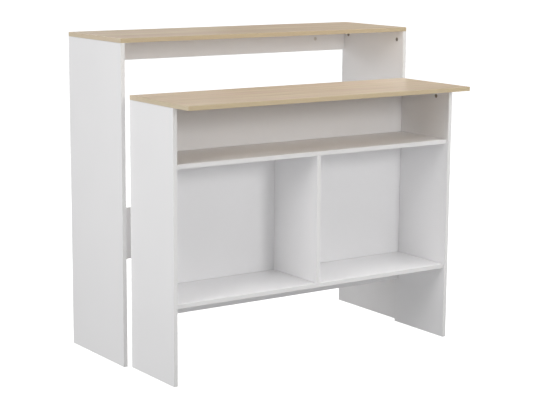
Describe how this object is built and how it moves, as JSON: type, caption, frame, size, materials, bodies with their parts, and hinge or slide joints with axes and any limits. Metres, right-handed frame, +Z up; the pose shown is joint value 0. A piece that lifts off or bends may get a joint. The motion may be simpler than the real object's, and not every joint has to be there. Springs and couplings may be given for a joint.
{
  "type": "bar table",
  "caption": "Nesting bar table of white boards with oak-effect tops: a tall open frame, and a lower shelf table with a divider and a front overhang that slides under it.",
  "frame": {"origin": "on the floor, in the middle of the space that the pair takes up with the low table pulled out", "axes": "+X to the right along the tables, +Y to the back, +Z up"},
  "size_m": [1.3, 0.815, 1.2],
  "materials": {
    "oak_board": "oak-effect coated board with fine grain along its length, satin",
    "white_board": "white coated board with a faint pearl texture, satin",
    "cam_zinc": "dark die-cast zinc, dull",
    "bolt_steel": "bright zinc-plated steel",
    "dowel_beech": "raw beech with fluted sides"
  },
  "bodies": {
    "high_table": {"apron_left_cam": "cam_zinc", "apron_left_cam_bolt": "bolt_steel", "apron_right_cam": "cam_zinc", "apron_right_cam_bolt": "bolt_steel", "crossbar_left_cam": "cam_zinc", "crossbar_left_cam_bolt": "bolt_steel", "crossbar_left_dowel": "dowel_beech", "crossbar_right_cam": "cam_zinc", "crossbar_right_cam_bolt": "bolt_steel", "crossbar_right_dowel": "dowel_beech", "high_apron": "white_board", "high_crossbar": "white_board", "high_left_front_cam": "cam_zinc", "high_left_front_cam_bolt": "bolt_steel", "high_left_rear_cam": "cam_zinc", "high_left_rear_cam_bolt": "bolt_steel", "high_left_side": "white_board", "high_right_front_cam": "cam_zinc", "high_right_front_cam_bolt": "bolt_steel", "high_right_rear_cam": "cam_zinc", "high_right_rear_cam_bolt": "bolt_steel", "high_right_side": "white_board", "high_top": "oak_board"},
    "low_table": {"bottom_shelf": "white_board", "bottom_shelf_left_cam": "cam_zinc", "bottom_shelf_left_cam_bolt": "bolt_steel", "bottom_shelf_left_dowel": "dowel_beech", "bottom_shelf_right_cam": "cam_zinc", "bottom_shelf_right_cam_bolt": "bolt_steel", "bottom_shelf_right_dowel": "dowel_beech", "divider": "white_board", "divider_bottom_dowel": "dowel_beech", "divider_top_dowel": "dowel_beech", "low_left_front_cam": "cam_zinc", "low_left_front_cam_bolt": "bolt_steel", "low_left_rear_cam": "cam_zinc", "low_left_rear_cam_bolt": "bolt_steel", "low_left_side": "white_board", "low_rear_rail": "white_board", "low_rear_rail_left_dowel": "dowel_beech", "low_rear_rail_right_dowel": "dowel_beech", "low_right_front_cam": "cam_zinc", "low_right_front_cam_bolt": "bolt_steel", "low_right_rear_cam": "cam_zinc", "low_right_rear_cam_bolt": "bolt_steel", "low_right_side": "white_board", "low_top": "oak_board", "lower_back": "white_board", "lower_back_left_dowel": "dowel_beech", "lower_back_right_dowel": "dowel_beech", "mid_shelf": "white_board", "mid_shelf_left_cam": "cam_zinc", "mid_shelf_left_cam_bolt": "bolt_steel", "mid_shelf_left_dowel": "dowel_beech", "mid_shelf_right_cam": "cam_zinc", "mid_shelf_right_cam_bolt": "bolt_steel", "mid_shelf_right_dowel": "dowel_beech", "upper_back": "white_board", "upper_back_left_dowel": "dowel_beech", "upper_back_right_dowel": "dowel_beech"}
  },
  "joints": [
    {"name": "low_table_slide", "type": "slide", "parent": "high_table", "child": "low_table", "axis": [0, 1, 0], "range_m": [0, 0.398]}
  ]
}
